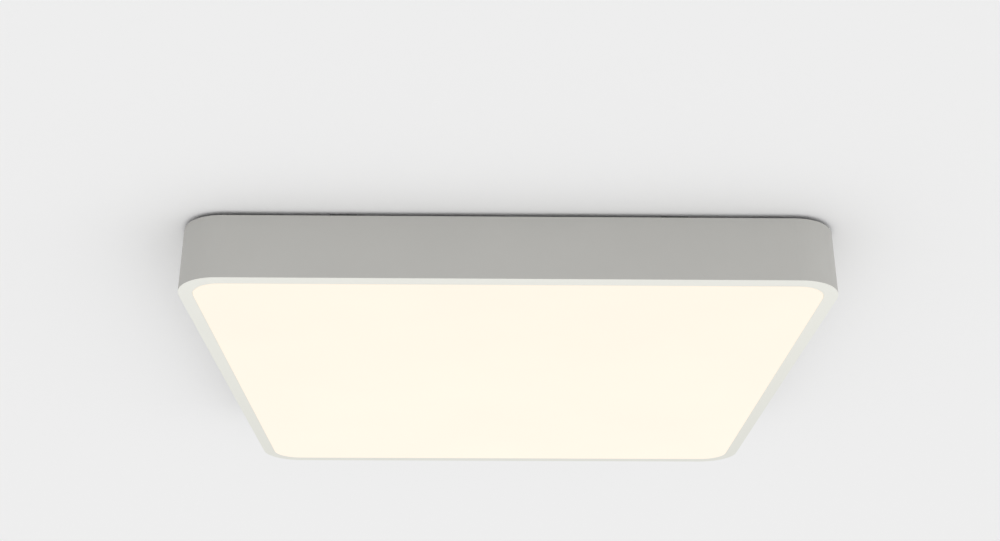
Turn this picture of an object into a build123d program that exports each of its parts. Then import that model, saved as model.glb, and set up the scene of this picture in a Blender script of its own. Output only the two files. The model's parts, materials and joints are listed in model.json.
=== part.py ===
from build123d import *
import math
import os

# Square surface-mounted ceiling light with rounded corners. Sizes are in millimetres.
# The origin is the centre of the ceiling face, +Z points up into the ceiling and the near
# side is -Y. An "inset" is a distance in from the body's outer face, and every z is negative
# because the whole light hangs below the ceiling.

# --- whole body -----------------------------------------------------------------------------------
BODY_WIDTH = 600.0
BODY_HEIGHT = 65.0
CORNER_RADIUS = 42.0
SHADOW_GAP = 3.4
SEAT_GAP = 0.3
HOLE_CLEARANCE = 0.1

# --- cover: painted band, white bezel, opal diffuser ----------------------------------------------
BAND_THICKNESS = 0.5
BAND_BEND_RADIUS = 0.6
BAND_LIP_WIDTH = 8.0
BEZEL_SEAM = 0.05
BEZEL_WIDTH = 13.0
BEZEL_LAP_THICKNESS = 0.5
BEZEL_THICKNESS = 1.5
BEZEL_EDGE_RADIUS = 0.3
BEZEL_RIB_THICKNESS = 1.5
BEZEL_RIB_CLEARANCE = 0.2
DIFFUSER_PROUD = 0.3
DIFFUSER_RIM_THICKNESS = 1.0
DIFFUSER_EDGE_GAP = 0.3
DIFFUSER_EDGE_RADIUS = 0.25
DIFFUSER_PLAY = 0.8
GASKET_THICKNESS = 1.2
GASKET_MARGIN = 0.5

# --- brackets that tie the band, bezel and diffuser together --------------------------------------
BRACKET_THICKNESS = 1.2
BRACKET_WIDTH = 14.0
BRACKET_LIP_MARGIN = 0.2
BRACKET_FOOT_REACH = 12.6
BRACKET_SPACING = 200.0
BRACKET_STATIONS = (-BRACKET_SPACING, 0.0, BRACKET_SPACING)
SHEET_BEND_RADIUS = 1.0
BOSS_RADIUS = 3.0
BOSS_WALL_GAP = 0.3
BOSS_FLOOR = 1.0
BRACKET_SCREW_RADIUS = 1.05
BRACKET_SCREW_HEAD_RADIUS = 2.4
BRACKET_SCREW_HEAD_HEIGHT = 1.6
RIVET_RADIUS = 1.2
RIVET_HEAD_RADIUS = 2.2
RIVET_HEAD_HEIGHT = 0.7

# --- mounting tray that screws to the ceiling -----------------------------------------------------
TRAY_THICKNESS = 1.0
TRAY_RIM_HEIGHT = 20.0
TRAY_LIP_CLEARANCE = 2.0
CEILING_SLOT_SPACING = 320.0
CEILING_SLOT_WIDTH = 5.5
CEILING_SLOT_LENGTH = 15.0
TAB_WIDTH = 24.0
TAB_REACH = 5.0
TAB_STATION = 150.0
PAD_MARGIN = 2.0
PAD_EDGE_MARGIN = 0.5
BEAD_LENGTH = 400.0
BEAD_RADIUS = 6.0
BEAD_DEPTH = 2.5
BEAD_INSET = 38.0

# --- spring clips on the tray rim -----------------------------------------------------------------
CLIP_THICKNESS = 0.6
CLIP_WIDTH = 16.0
CLIP_STATION = 100.0
CLIP_BITE = 2.6
CLIP_NOSE_DROP = 2.6
CLIP_TIP_INSET = 0.1
CLIP_TIP_RISE = 0.2
CLIP_FOOT_DROP = 7.4
CLIP_RIVET_SPACING = 9.0
CLIP_RIVET_MARGIN = 3.6
WINDOW_MARGIN = 1.0
WINDOW_HEAD_GAP = 1.5

# --- cable entry ----------------------------------------------------------------------------------
DISH_RADIUS = 22.0
DISH_DEPTH = 4.0
CABLE_RADIUS = 4.5
GROMMET_HOLE_RADIUS = 8.0
GROMMET_FLANGE_RADIUS = 11.0
GROMMET_FLANGE_THICKNESS = 1.2
GROMMET_SNOUT_RADIUS = 7.0
GROMMET_SNOUT_LENGTH = 2.8

# --- cord clamp -----------------------------------------------------------------------------------
CLAMP_X = 45.0
CLAMP_LENGTH = 14.0
CLAMP_WIDTH = 32.0
CLAMP_BASE_HEIGHT = 3.0
CLAMP_CHANNEL_WIDTH = 11.0
CLAMP_CHANNEL_HEIGHT = 8.3
CLAMP_ROOF = 2.5
CLAMP_SEAM = 0.2
CLAMP_SCREW_SPACING = 22.0

# --- terminal block and its release buttons -------------------------------------------------------
TERMINAL_X = 95.0
TERMINAL_LENGTH = 30.0
TERMINAL_WIDTH = 48.0
TERMINAL_HEIGHT = 20.0
POLE_PITCH = 12.0
PORT_DEPTH = 10.0
PORT_CLEARANCE = 0.3
CHAMBER_LENGTH = 10.4
CHAMBER_WIDTH = 6.4
CHAMBER_RISE = 3.8
BUTTON_WIDTH = 4.8
BUTTON_CLEARANCE = 0.3
BUTTON_PROUD = 2.0
BUTTON_TRAVEL = 1.5
BUTTON_TIP_GAP = 0.6
CONTACT_LENGTH = 6.0
CONTACT_HEIGHT = 6.0
CONTACT_HOLE_RADIUS = 1.5
CONTACT_GAP = 0.2
SPRING_THICKNESS = 0.3
SPRING_WIDTH = 4.0
TERMINAL_SCREW_SPACING = 40.0

# --- earth stud -----------------------------------------------------------------------------------
EARTH_X = 150.0
EARTH_Y = 62.0
EARTH_SEAT_RADIUS = 5.0
EARTH_SEAT_HEIGHT = 6.2
EARTH_THREAD_RADIUS = 2.0
EARTH_THREAD_LENGTH = 9.0
LUG_THICKNESS = 0.8
LUG_RADIUS = 4.6
LUG_LENGTH = 11.0
LUG_BARREL_LENGTH = 7.0
LUG_BARREL_WALL = 0.6
LUG_STEP_WIDTH = 1.0
WASHER_THICKNESS = 1.0
WASHER_RADIUS = 4.5
NUT_RADIUS = 3.9
NUT_HEIGHT = 3.2

# --- driver ---------------------------------------------------------------------------------------
DRIVER_X = -130.0
DRIVER_WIDTH = 60.0
DRIVER_LENGTH = 220.0
DRIVER_HEIGHT = 26.0
DRIVER_WALL = 1.5
DRIVER_LID_THICKNESS = 2.0
DRIVER_LID_LIP = 3.0
EAR_LENGTH = 10.0
EAR_WIDTH = 12.0
EAR_THICKNESS = 2.5
EAR_SPACING = 44.0
BOARD_THICKNESS = 1.6
BOARD_MARGIN = 1.5
BOARD_STANDOFF = 1.5
BOARD_BOSS_RADIUS = 2.5
BOARD_BOSS_INSET = 6.0
DRIVER_TERMINAL_WIDTH = 14.0
DRIVER_TERMINAL_DEPTH = 12.0
DRIVER_TERMINAL_HEIGHT = 8.0
DRIVER_TERMINAL_GAP = 0.3
DRIVER_PORT_DEPTH = 6.0
TRANSFORMER_SIZE = (26.0, 30.0, 15.5)
CAPACITOR_RADIUS = 5.0
CAPACITOR_HEIGHT = 15.0
CAPACITOR_PITCH = 14.0
CAPACITOR_COUNT = 3

# --- wiring ---------------------------------------------------------------------------------------
WIRE_LEVEL = -9.0
MAINS_WIRE_DIAMETER = 2.2
MAINS_WIRE_BEND = 12.0
LED_WIRE_DIAMETER = 1.6
LED_WIRE_BEND = 8.0
WIRE_PITCH = 5.0
MAINS_RUN_X = 135.5
MAINS_RUN_Y = -150.5
SADDLE_LENGTH = 6.0
SADDLE_WALL = 1.6
SADDLE_X = (-80.0, 0.0, 80.0)

# --- reflector pan and LED boards -----------------------------------------------------------------
PAN_DEPTH = 33.0
PAN_THICKNESS = 1.0
PAN_FOOT_CLEARANCE = 2.3
PAN_SLOPE_WIDTH = 22.0
PAN_DIFFUSER_GAP = 2.0
PAN_EDGE_MARGIN = 18.5
STANDOFF_RADIUS = 4.0
STANDOFF_SPIGOT_RADIUS = 3.0
PAN_SCREW_RADIUS = 1.95
PAN_SCREW_HEAD_RADIUS = 4.0
PAN_SCREW_HEAD_HEIGHT = 2.4
PAN_SCREW_GRIP = 10.0
PAN_GROMMET_RADIUS = 6.5
PAN_GROMMET_GROOVE_RADIUS = 5.5
PAN_GROMMET_BORE_RADIUS = 4.4
PAN_GROMMET_FLANGE = 1.2
PAN_GROMMET_EDGE_MARGIN = 10.0
PAN_WIRE_OFFSET = 1.2
STANDOFF_PITCHES = 3
STRIP_COUNT = 8
STRIP_WIDTH = 20.0
STRIP_THICKNESS = 1.0
STRIP_SCREW_RADIUS = 1.45
STRIP_SCREW_HEAD_RADIUS = 2.6
STRIP_SCREW_HEAD_HEIGHT = 1.8
LED_COUNT = 8
LED_SIZE = 3.0
LED_HEIGHT = 0.7
LENS_RADIUS = 7.5
LENS_SKIRT = 1.2
LENS_CROWN = 4.3
LENS_CAVITY_RADIUS = 2.6
CONNECTOR_LENGTH = 9.0
CONNECTOR_WIDTH = 10.0
CONNECTOR_HEIGHT = 4.4
CONNECTOR_INSET = 1.0
CONNECTOR_LENS_GAP = 2.5
CONNECTOR_PORT_DEPTH = 4.0
JUMPER_INNER_REACH = 9.0

# --- general screw for the gear -------------------------------------------------------------------
GEAR_SCREW_RADIUS = 1.45
GEAR_SCREW_HEAD_RADIUS = 2.8
GEAR_SCREW_HEAD_HEIGHT = 2.0
GEAR_SCREW_BITE = 0.8
RECESS_WIDTH = 0.6
RECESS_DEPTH = 0.8

# --- levels and places worked out from the sizes above --------------------------------------------
HALF = BODY_WIDTH / 2
BAND_TOP = -SHADOW_GAP
LIP_UNDERSIDE = BAND_TOP - BAND_THICKNESS
BODY_BOTTOM = -BODY_HEIGHT
LAP_TOP = BODY_BOTTOM + BEZEL_LAP_THICKNESS
BAND_BOTTOM = LAP_TOP + BEZEL_SEAM
BEZEL_TOP = BODY_BOTTOM + BEZEL_THICKNESS
BEZEL_INSET = BAND_THICKNESS + BEZEL_SEAM
BOSS_INSET = BEZEL_INSET + BEZEL_RIB_THICKNESS + BOSS_WALL_GAP + BOSS_RADIUS
DIFFUSER_INSET = BOSS_INSET + BOSS_RADIUS + DIFFUSER_PLAY
DIFFUSER_BACK = BEZEL_TOP + DIFFUSER_RIM_THICKNESS
GASKET_TOP = DIFFUSER_BACK + GASKET_THICKNESS
FOOT_TOP = GASKET_TOP + BRACKET_THICKNESS
LIP_RIVET_INSET = (BAND_LIP_WIDTH + BAND_THICKNESS + BRACKET_THICKNESS) / 2

TRAY_UNDERSIDE = -TRAY_THICKNESS
TRAY_INSET = BAND_LIP_WIDTH + TRAY_LIP_CLEARANCE
TRAY_RIM_BOTTOM = -TRAY_RIM_HEIGHT
DISH_TOP = -DISH_DEPTH
DISH_UNDERSIDE = DISH_TOP - TRAY_THICKNESS

PAN_TOP = -PAN_DEPTH
PAN_UNDERSIDE = PAN_TOP - PAN_THICKNESS
PAN_RIM_INSET = BRACKET_FOOT_REACH + PAN_FOOT_CLEARANCE
PAN_FLAT_INSET = PAN_RIM_INSET + PAN_SLOPE_WIDTH
PAN_RIM_BOTTOM = DIFFUSER_BACK + PAN_DIFFUSER_GAP
PAN_FLAT_HALF = HALF - PAN_FLAT_INSET
STRIP_HALF = PAN_FLAT_HALF - PAN_EDGE_MARGIN
STRIP_UNDERSIDE = PAN_UNDERSIDE - STRIP_THICKNESS
LENS_END_MARGIN = CONNECTOR_INSET + CONNECTOR_LENGTH + CONNECTOR_LENS_GAP + LENS_RADIUS
LED_PITCH = 2 * (STRIP_HALF - LENS_END_MARGIN) / (LED_COUNT - 1)
LED_PLACES = [(k - (LED_COUNT - 1) / 2) * LED_PITCH for k in range(LED_COUNT)]
STRIP_PLACES = [(k - (STRIP_COUNT - 1) / 2) * LED_PITCH for k in range(STRIP_COUNT)]
STANDOFF_REACH = STANDOFF_PITCHES * LED_PITCH
STANDOFF_PLACES = [
    (i * STANDOFF_REACH, j * STANDOFF_REACH) for i in (-1, 0, 1) for j in (-1, 0, 1) if i or j
]
STRIP_SCREW_PLACES = (-STANDOFF_REACH, 0.0, STANDOFF_REACH)
CONNECTOR_OUTER = STRIP_HALF - CONNECTOR_INSET
CONNECTOR_LEVEL = STRIP_UNDERSIDE - CONNECTOR_HEIGHT / 2
PAN_GROMMET_X = -(PAN_FLAT_HALF - PAN_GROMMET_EDGE_MARGIN)

DRIVER_MOUTH = TRAY_UNDERSIDE - DRIVER_HEIGHT + DRIVER_LID_THICKNESS
BOARD_TOP = TRAY_UNDERSIDE - DRIVER_WALL - BOARD_STANDOFF
BOARD_UNDERSIDE = BOARD_TOP - BOARD_THICKNESS
TERMINAL_FACE = TRAY_UNDERSIDE - TERMINAL_HEIGHT
TERMINAL_OUTER_X = TERMINAL_X + TERMINAL_LENGTH / 2
CHAMBER_TOP = WIRE_LEVEL + CHAMBER_RISE
CHAMBER_BOTTOM = WIRE_LEVEL - CHAMBER_RISE
CONTACT_TOP = WIRE_LEVEL + CONTACT_HEIGHT / 2
CONTACT_BOTTOM = WIRE_LEVEL - CONTACT_HEIGHT / 2
BUTTON_TIP = CONTACT_BOTTOM - BUTTON_TIP_GAP - BUTTON_TRAVEL
EARTH_SEAT_BOTTOM = TRAY_UNDERSIDE - EARTH_SEAT_HEIGHT
POLES = {"live": -POLE_PITCH, "neutral": 0.0, "earth": POLE_PITCH}


# --- shapes that several pieces share -------------------------------------------------------------
def block(x_low, x_high, y_low, y_high, z_low, z_high):
    """Box between two corners."""
    centre = ((x_low + x_high) / 2, (y_low + y_high) / 2, (z_low + z_high) / 2)
    return Pos(*centre) * Box(x_high - x_low, y_high - y_low, z_high - z_low)


def post(x, y, z_low, z_high, radius):
    """Upright cylinder."""
    return Pos(x, y, (z_low + z_high) / 2) * Cylinder(radius, z_high - z_low)


def slab(inset, z_low, z_high):
    """Square plate whose rounded corners are concentric with the body's corners."""
    side = BODY_WIDTH - 2 * inset
    outline = RectangleRounded(side, side, CORNER_RADIUS - inset)
    return Pos(0, 0, z_low) * extrude(outline, z_high - z_low)


def ease_bottom(shape, radius):
    """Round the edges of a shape's lowest face."""
    return fillet(shape.edges().group_by(Axis.Z)[0], radius)


def ease_top(shape, radius):
    """Round the edges of a shape's highest face."""
    return fillet(shape.edges().group_by(Axis.Z)[-1], radius)


def group(shapes):
    """Separate solids of one kind, kept together as one piece."""
    return Compound([solid for shape in shapes for solid in shape.solids()])


def on_four_sides(shape, stations):
    """Copies of a shape of the near side, at each station along every side."""
    return [
        Rot(0, 0, 90 * side) * Pos(station, 0, 0) * shape
        for side in range(4)
        for station in stations
    ]


def bent_strip(points, thickness, width, bend_radius):
    """Sheet strip on the near side that follows (inset, z) points, with rounded bends."""
    path = FilletPolyline([(0, inset - HALF, z) for inset, z in points], radius=bend_radius)
    start = Plane(origin=path @ 0, x_dir=(1, 0, 0), z_dir=path % 0)
    return sweep(start * Rectangle(width, thickness), path=path)


def round_wire(points, bend_radius, diameter):
    """Insulated wire of straight runs joined by tangent arcs."""
    path = FilletPolyline(points, radius=bend_radius)
    start = Plane(origin=path @ 0, z_dir=path % 0)
    return sweep(start * Circle(diameter / 2), path=path)


def screw(x, y, seat, tip, shank_radius, head_radius, head_height):
    """Pan-head screw driven upwards, with its head under the seat and a cross recess."""
    body = post(x, y, seat, tip, shank_radius) + post(x, y, seat - head_height, seat, head_radius)
    bottom = seat - head_height
    for angle in (0, 90):
        slot = Box(head_radius, RECESS_WIDTH, RECESS_DEPTH)
        body -= Pos(x, y, bottom + RECESS_DEPTH / 2) * Rot(0, 0, angle) * slot
    return body


def gear_screw(x, y, seat):
    """Screw that holds the gear to the tray."""
    tip = TRAY_UNDERSIDE + GEAR_SCREW_BITE
    return screw(
        x, y, seat, tip, GEAR_SCREW_RADIUS, GEAR_SCREW_HEAD_RADIUS, GEAR_SCREW_HEAD_HEIGHT
    )


def across_rim(station, z, inset_low, inset_high, radius):
    """Cylinder along the inset direction of the near side."""
    length = inset_high - inset_low
    return Pos(station, (inset_low + inset_high) / 2 - HALF, z) * Rot(90, 0, 0) * Cylinder(radius, length)


# --- cover ----------------------------------------------------------------------------------------
def side_band():
    """Thin painted wall, open at both ends, with a lip turned in at the top."""
    band = ease_top(slab(0, BAND_BOTTOM, BAND_TOP), BAND_BEND_RADIUS)
    inner_bend = BAND_BEND_RADIUS - BAND_THICKNESS
    band -= ease_top(slab(BAND_THICKNESS, BAND_BOTTOM, LIP_UNDERSIDE), inner_bend)
    band -= slab(BAND_LIP_WIDTH, LIP_UNDERSIDE, BAND_TOP)
    rivet_hole = post(0, LIP_RIVET_INSET - HALF, LIP_UNDERSIDE, BAND_TOP, RIVET_RADIUS + HOLE_CLEARANCE)
    return band - on_four_sides(rivet_hole, BRACKET_STATIONS)


def front_bezel():
    """Flat white frame that laps over the band's lower edge, with a rib and screw bosses."""
    frame = slab(0, BODY_BOTTOM, LAP_TOP) + slab(BEZEL_INSET, LAP_TOP, BEZEL_TOP)
    frame -= slab(BEZEL_WIDTH, BODY_BOTTOM, BEZEL_TOP)
    rib_top = GASKET_TOP - BEZEL_RIB_CLEARANCE
    rib_inset = BEZEL_INSET + BEZEL_RIB_THICKNESS
    bezel = ease_bottom(frame, BEZEL_EDGE_RADIUS)
    bezel += slab(BEZEL_INSET, BEZEL_TOP, rib_top) - slab(rib_inset, BEZEL_TOP, rib_top)
    boss = post(0, BOSS_INSET - HALF, BEZEL_TOP, GASKET_TOP, BOSS_RADIUS)
    hole_radius = BRACKET_SCREW_RADIUS + HOLE_CLEARANCE
    hole = post(0, BOSS_INSET - HALF, BODY_BOTTOM + BOSS_FLOOR, GASKET_TOP, hole_radius)
    bezel += on_four_sides(boss, BRACKET_STATIONS)
    return bezel - on_four_sides(hole, BRACKET_STATIONS)


def diffuser():
    """Opal plate whose stepped face fills the bezel opening and stands a hair below it."""
    plate = slab(DIFFUSER_INSET, BEZEL_TOP, DIFFUSER_BACK)
    face = slab(BEZEL_WIDTH + DIFFUSER_EDGE_GAP, BODY_BOTTOM - DIFFUSER_PROUD, BEZEL_TOP)
    return plate + ease_bottom(face, DIFFUSER_EDGE_RADIUS)


def diffuser_gasket():
    """Foam ring that the brackets press on the diffuser's rim."""
    outer = slab(DIFFUSER_INSET + GASKET_MARGIN, DIFFUSER_BACK, GASKET_TOP)
    return outer - slab(BEZEL_WIDTH, DIFFUSER_BACK, GASKET_TOP)


def frame_bracket():
    """Bent sheet bracket from the band's lip down to the bezel boss and over the gasket."""
    web_inset = BAND_THICKNESS + BRACKET_THICKNESS / 2
    flange = LIP_UNDERSIDE - BRACKET_THICKNESS / 2
    foot = GASKET_TOP + BRACKET_THICKNESS / 2
    bracket = bent_strip(
        [
            (BAND_LIP_WIDTH - BRACKET_LIP_MARGIN, flange),
            (web_inset, flange),
            (web_inset, foot),
            (BRACKET_FOOT_REACH, foot),
        ],
        BRACKET_THICKNESS,
        BRACKET_WIDTH,
        SHEET_BEND_RADIUS,
    )
    flange_bottom = LIP_UNDERSIDE - BRACKET_THICKNESS
    rivet_hole = RIVET_RADIUS + HOLE_CLEARANCE
    screw_hole = BRACKET_SCREW_RADIUS + HOLE_CLEARANCE
    bracket -= post(0, LIP_RIVET_INSET - HALF, flange_bottom, LIP_UNDERSIDE, rivet_hole)
    return bracket - post(0, BOSS_INSET - HALF, GASKET_TOP, FOOT_TOP, screw_hole)


def lip_rivet():
    """Rivet through the band's lip and the bracket's flange."""
    y = LIP_RIVET_INSET - HALF
    flange_bottom = LIP_UNDERSIDE - BRACKET_THICKNESS
    rivet = post(0, y, flange_bottom, BAND_TOP, RIVET_RADIUS)
    rivet += post(0, y, BAND_TOP, BAND_TOP + RIVET_HEAD_HEIGHT, RIVET_HEAD_RADIUS)
    return rivet + post(0, y, flange_bottom - RIVET_HEAD_HEIGHT, flange_bottom, RIVET_HEAD_RADIUS)


def bezel_screw():
    """Screw from behind, through the bracket's foot into the bezel boss."""
    shank_length = FOOT_TOP - BODY_BOTTOM - BOSS_FLOOR - HOLE_CLEARANCE
    upright = screw(
        0,
        0,
        0,
        shank_length,
        BRACKET_SCREW_RADIUS,
        BRACKET_SCREW_HEAD_RADIUS,
        BRACKET_SCREW_HEAD_HEIGHT,
    )
    return Pos(0, BOSS_INSET - HALF, FOOT_TOP) * Rot(180, 0, 0) * upright


# --- tray and what is fixed to its rim ------------------------------------------------------------
def bead(radius):
    """Round-ended bar along the near side, part of a pressed stiffening bead."""
    centre_z = BEAD_RADIUS - BEAD_DEPTH
    y = BEAD_INSET - HALF
    half_length = BEAD_LENGTH / 2
    bar = Pos(0, y, centre_z) * Rot(0, 90, 0) * Cylinder(radius, BEAD_LENGTH)
    ends = [Pos(x, y, centre_z) * Sphere(radius) for x in (-half_length, half_length)]
    return bar + ends


def mounting_tray():
    """Pressed steel pan with slots for ceiling screws and a dished cable entry."""
    tray = slab(TRAY_INSET, TRAY_UNDERSIDE, 0)
    rim = slab(TRAY_INSET, TRAY_RIM_BOTTOM, TRAY_UNDERSIDE)
    tray += rim - slab(TRAY_INSET + TRAY_THICKNESS, TRAY_RIM_BOTTOM, TRAY_UNDERSIDE)
    tab = block(
        -TAB_WIDTH / 2,
        TAB_WIDTH / 2,
        TAB_REACH - HALF,
        TRAY_INSET + TRAY_THICKNESS - HALF,
        TRAY_UNDERSIDE,
        0,
    )
    tray += on_four_sides(tab, (-TAB_STATION, TAB_STATION))
    below = slab(0, -BODY_HEIGHT, 0)
    tray += [ridge & below for ridge in on_four_sides(bead(BEAD_RADIUS + TRAY_THICKNESS), (0,))]
    tray -= on_four_sides(bead(BEAD_RADIUS), (0,))
    window_half = CLIP_WIDTH / 2 + WINDOW_MARGIN
    window = block(
        -window_half,
        window_half,
        TRAY_INSET - HALF - TRAY_THICKNESS,
        TRAY_INSET - HALF + 2 * TRAY_THICKNESS,
        LIP_UNDERSIDE - CLIP_FOOT_DROP + WINDOW_MARGIN,
        TRAY_UNDERSIDE - WINDOW_HEAD_GAP,
    )
    tray -= on_four_sides(window, (-CLIP_STATION, CLIP_STATION))
    tray -= on_four_sides(clip_rivet_pair(RIVET_RADIUS + HOLE_CLEARANCE), (-CLIP_STATION, CLIP_STATION))
    tray += post(0, 0, DISH_UNDERSIDE, TRAY_UNDERSIDE, DISH_RADIUS + TRAY_THICKNESS)
    tray -= post(0, 0, DISH_TOP, 0, DISH_RADIUS)
    tray -= post(0, 0, DISH_UNDERSIDE, DISH_TOP, GROMMET_HOLE_RADIUS)
    slot = extrude(SlotOverall(CEILING_SLOT_LENGTH, CEILING_SLOT_WIDTH), -TRAY_THICKNESS)
    reach = CEILING_SLOT_SPACING / 2
    tray -= [Pos(x, y, 0) * slot for x in (-reach, reach) for y in (-reach, reach)]
    spigot_hole = STANDOFF_SPIGOT_RADIUS + HOLE_CLEARANCE
    tray -= [post(x, y, TRAY_UNDERSIDE, 0, spigot_hole) for x, y in STANDOFF_PLACES]
    thread_hole = GEAR_SCREW_RADIUS + HOLE_CLEARANCE
    return tray - [post(x, y, TRAY_UNDERSIDE, 0, thread_hole) for x, y in gear_screw_places()]


def gear_screw_places():
    """Tapped holes in the tray for the cord clamp, terminal block and driver."""
    clamp_reach = CLAMP_SCREW_SPACING / 2
    terminal_reach = TERMINAL_SCREW_SPACING / 2
    places = [(CLAMP_X, y) for y in (-clamp_reach, clamp_reach)]
    places += [(TERMINAL_X, y) for y in (-terminal_reach, terminal_reach)]
    return places + driver_screw_places()


def driver_screw_places():
    """Screw centres in the driver's four ears."""
    y = DRIVER_LENGTH / 2 + EAR_LENGTH / 2
    x = EAR_SPACING / 2
    return [(DRIVER_X + i * x, j * y) for i in (-1, 1) for j in (-1, 1)]


def gap_pad():
    """Felt pad under a tray tab, which keeps the shadow gap even."""
    half_width = TAB_WIDTH / 2 - PAD_MARGIN
    y_low = TAB_REACH + PAD_EDGE_MARGIN - HALF
    y_high = TRAY_INSET - PAD_EDGE_MARGIN - HALF
    return block(-half_width, half_width, y_low, y_high, BAND_TOP + SEAT_GAP, TRAY_UNDERSIDE)


def clip_rivet_pair(radius):
    """Shanks of the two rivets that hold a spring clip, through clip and rim."""
    z = TRAY_RIM_BOTTOM + CLIP_RIVET_MARGIN
    reach = CLIP_RIVET_SPACING / 2
    low = TRAY_INSET - CLIP_THICKNESS
    high = TRAY_INSET + TRAY_THICKNESS
    return group([across_rim(x, z, low, high, radius) for x in (-reach, reach)])


def spring_clip():
    """Leaf spring on the rim whose nose bears under the band's lip."""
    foot_inset = TRAY_INSET - CLIP_THICKNESS / 2
    nose = (BAND_LIP_WIDTH - CLIP_BITE, LIP_UNDERSIDE - CLIP_NOSE_DROP)
    tip = (foot_inset - CLIP_TIP_INSET, LIP_UNDERSIDE + CLIP_TIP_RISE)
    clip = bent_strip(
        [(foot_inset, TRAY_RIM_BOTTOM), (foot_inset, LIP_UNDERSIDE - CLIP_FOOT_DROP), nose, tip],
        CLIP_THICKNESS,
        CLIP_WIDTH,
        SHEET_BEND_RADIUS,
    )
    return clip - clip_rivet_pair(RIVET_RADIUS + HOLE_CLEARANCE)


def clip_rivets():
    """The two rivets of one spring clip, with a head on each side."""
    z = TRAY_RIM_BOTTOM + CLIP_RIVET_MARGIN
    front = TRAY_INSET - CLIP_THICKNESS
    back = TRAY_INSET + TRAY_THICKNESS
    rivets = []
    for x in (-CLIP_RIVET_SPACING / 2, CLIP_RIVET_SPACING / 2):
        rivet = across_rim(x, z, front, back, RIVET_RADIUS)
        rivet += across_rim(x, z, front - RIVET_HEAD_HEIGHT, front, RIVET_HEAD_RADIUS)
        rivets.append(rivet + across_rim(x, z, back, back + RIVET_HEAD_HEIGHT, RIVET_HEAD_RADIUS))
    return group(rivets)


# --- cable entry, cord clamp, terminal block ------------------------------------------------------
def cable_grommet():
    """Rubber ring in the dished hole, with the supply cable's bore through it."""
    top = DISH_TOP + GROMMET_FLANGE_THICKNESS
    bottom = DISH_UNDERSIDE - GROMMET_FLANGE_THICKNESS
    grommet = post(0, 0, DISH_TOP, top, GROMMET_FLANGE_RADIUS)
    grommet += post(0, 0, DISH_UNDERSIDE, DISH_TOP, GROMMET_HOLE_RADIUS - HOLE_CLEARANCE)
    grommet += post(0, 0, bottom, DISH_UNDERSIDE, GROMMET_FLANGE_RADIUS)
    grommet += post(0, 0, bottom - GROMMET_SNOUT_LENGTH, bottom, GROMMET_SNOUT_RADIUS)
    return grommet - post(0, 0, bottom - GROMMET_SNOUT_LENGTH, top, CABLE_RADIUS)


def clamp_outline(z_low, z_high):
    """Cord clamp block between two levels."""
    x_reach = CLAMP_LENGTH / 2
    y_reach = CLAMP_WIDTH / 2
    return block(CLAMP_X - x_reach, CLAMP_X + x_reach, -y_reach, y_reach, z_low, z_high)


def clamp_screw_holes(z_low, z_high):
    """Clearance holes for the two clamp screws."""
    reach = CLAMP_SCREW_SPACING / 2
    return [post(CLAMP_X, y, z_low, z_high, GEAR_SCREW_RADIUS + HOLE_CLEARANCE) for y in (-reach, reach)]


def cord_clamp_base():
    """Lower half of the cord clamp, flat on the tray."""
    bottom = TRAY_UNDERSIDE - CLAMP_BASE_HEIGHT
    return clamp_outline(bottom, TRAY_UNDERSIDE) - clamp_screw_holes(bottom, TRAY_UNDERSIDE)


def cord_clamp_bridge():
    """Arch that presses the supply cable on the clamp base."""
    top = TRAY_UNDERSIDE - CLAMP_BASE_HEIGHT - CLAMP_SEAM
    channel_bottom = top - CLAMP_CHANNEL_HEIGHT
    bottom = channel_bottom - CLAMP_ROOF
    x_reach = CLAMP_LENGTH / 2
    y_reach = CLAMP_CHANNEL_WIDTH / 2
    channel = block(CLAMP_X - x_reach, CLAMP_X + x_reach, -y_reach, y_reach, channel_bottom, top)
    return clamp_outline(bottom, top) - channel - clamp_screw_holes(bottom, top)


def clamp_screws():
    """The two screws of the cord clamp."""
    seat = TRAY_UNDERSIDE - CLAMP_BASE_HEIGHT - CLAMP_SEAM - CLAMP_CHANNEL_HEIGHT - CLAMP_ROOF
    reach = CLAMP_SCREW_SPACING / 2
    return group([gear_screw(CLAMP_X, y, seat) for y in (-reach, reach)])


def terminal_block():
    """Three-pole push-in terminal with a wire port on both sides and a button under each pole."""
    x_reach = TERMINAL_LENGTH / 2
    y_reach = TERMINAL_WIDTH / 2
    body = block(
        TERMINAL_X - x_reach, TERMINAL_X + x_reach, -y_reach, y_reach, TERMINAL_FACE, TRAY_UNDERSIDE
    )
    pocket_half = BUTTON_WIDTH / 2 + BUTTON_CLEARANCE
    port_radius = MAINS_WIRE_DIAMETER / 2 + PORT_CLEARANCE
    for y in POLES.values():
        body -= Pos(TERMINAL_X, y, WIRE_LEVEL) * Rot(0, 90, 0) * Cylinder(port_radius, TERMINAL_LENGTH)
        body -= block(
            TERMINAL_X - CHAMBER_LENGTH / 2,
            TERMINAL_X + CHAMBER_LENGTH / 2,
            y - CHAMBER_WIDTH / 2,
            y + CHAMBER_WIDTH / 2,
            CHAMBER_BOTTOM,
            CHAMBER_TOP,
        )
        body -= block(
            TERMINAL_X - pocket_half,
            TERMINAL_X + pocket_half,
            y - pocket_half,
            y + pocket_half,
            TERMINAL_FACE,
            CHAMBER_BOTTOM,
        )
    reach = TERMINAL_SCREW_SPACING / 2
    hole = GEAR_SCREW_RADIUS + HOLE_CLEARANCE
    return body - [post(TERMINAL_X, y, TERMINAL_FACE, TRAY_UNDERSIDE, hole) for y in (-reach, reach)]


def release_button(y):
    """Push button that opens one pole's clamp; it slides up by its travel."""
    half = BUTTON_WIDTH / 2
    return block(
        TERMINAL_X - half, TERMINAL_X + half, y - half, y + half, TERMINAL_FACE - BUTTON_PROUD, BUTTON_TIP
    )


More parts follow.
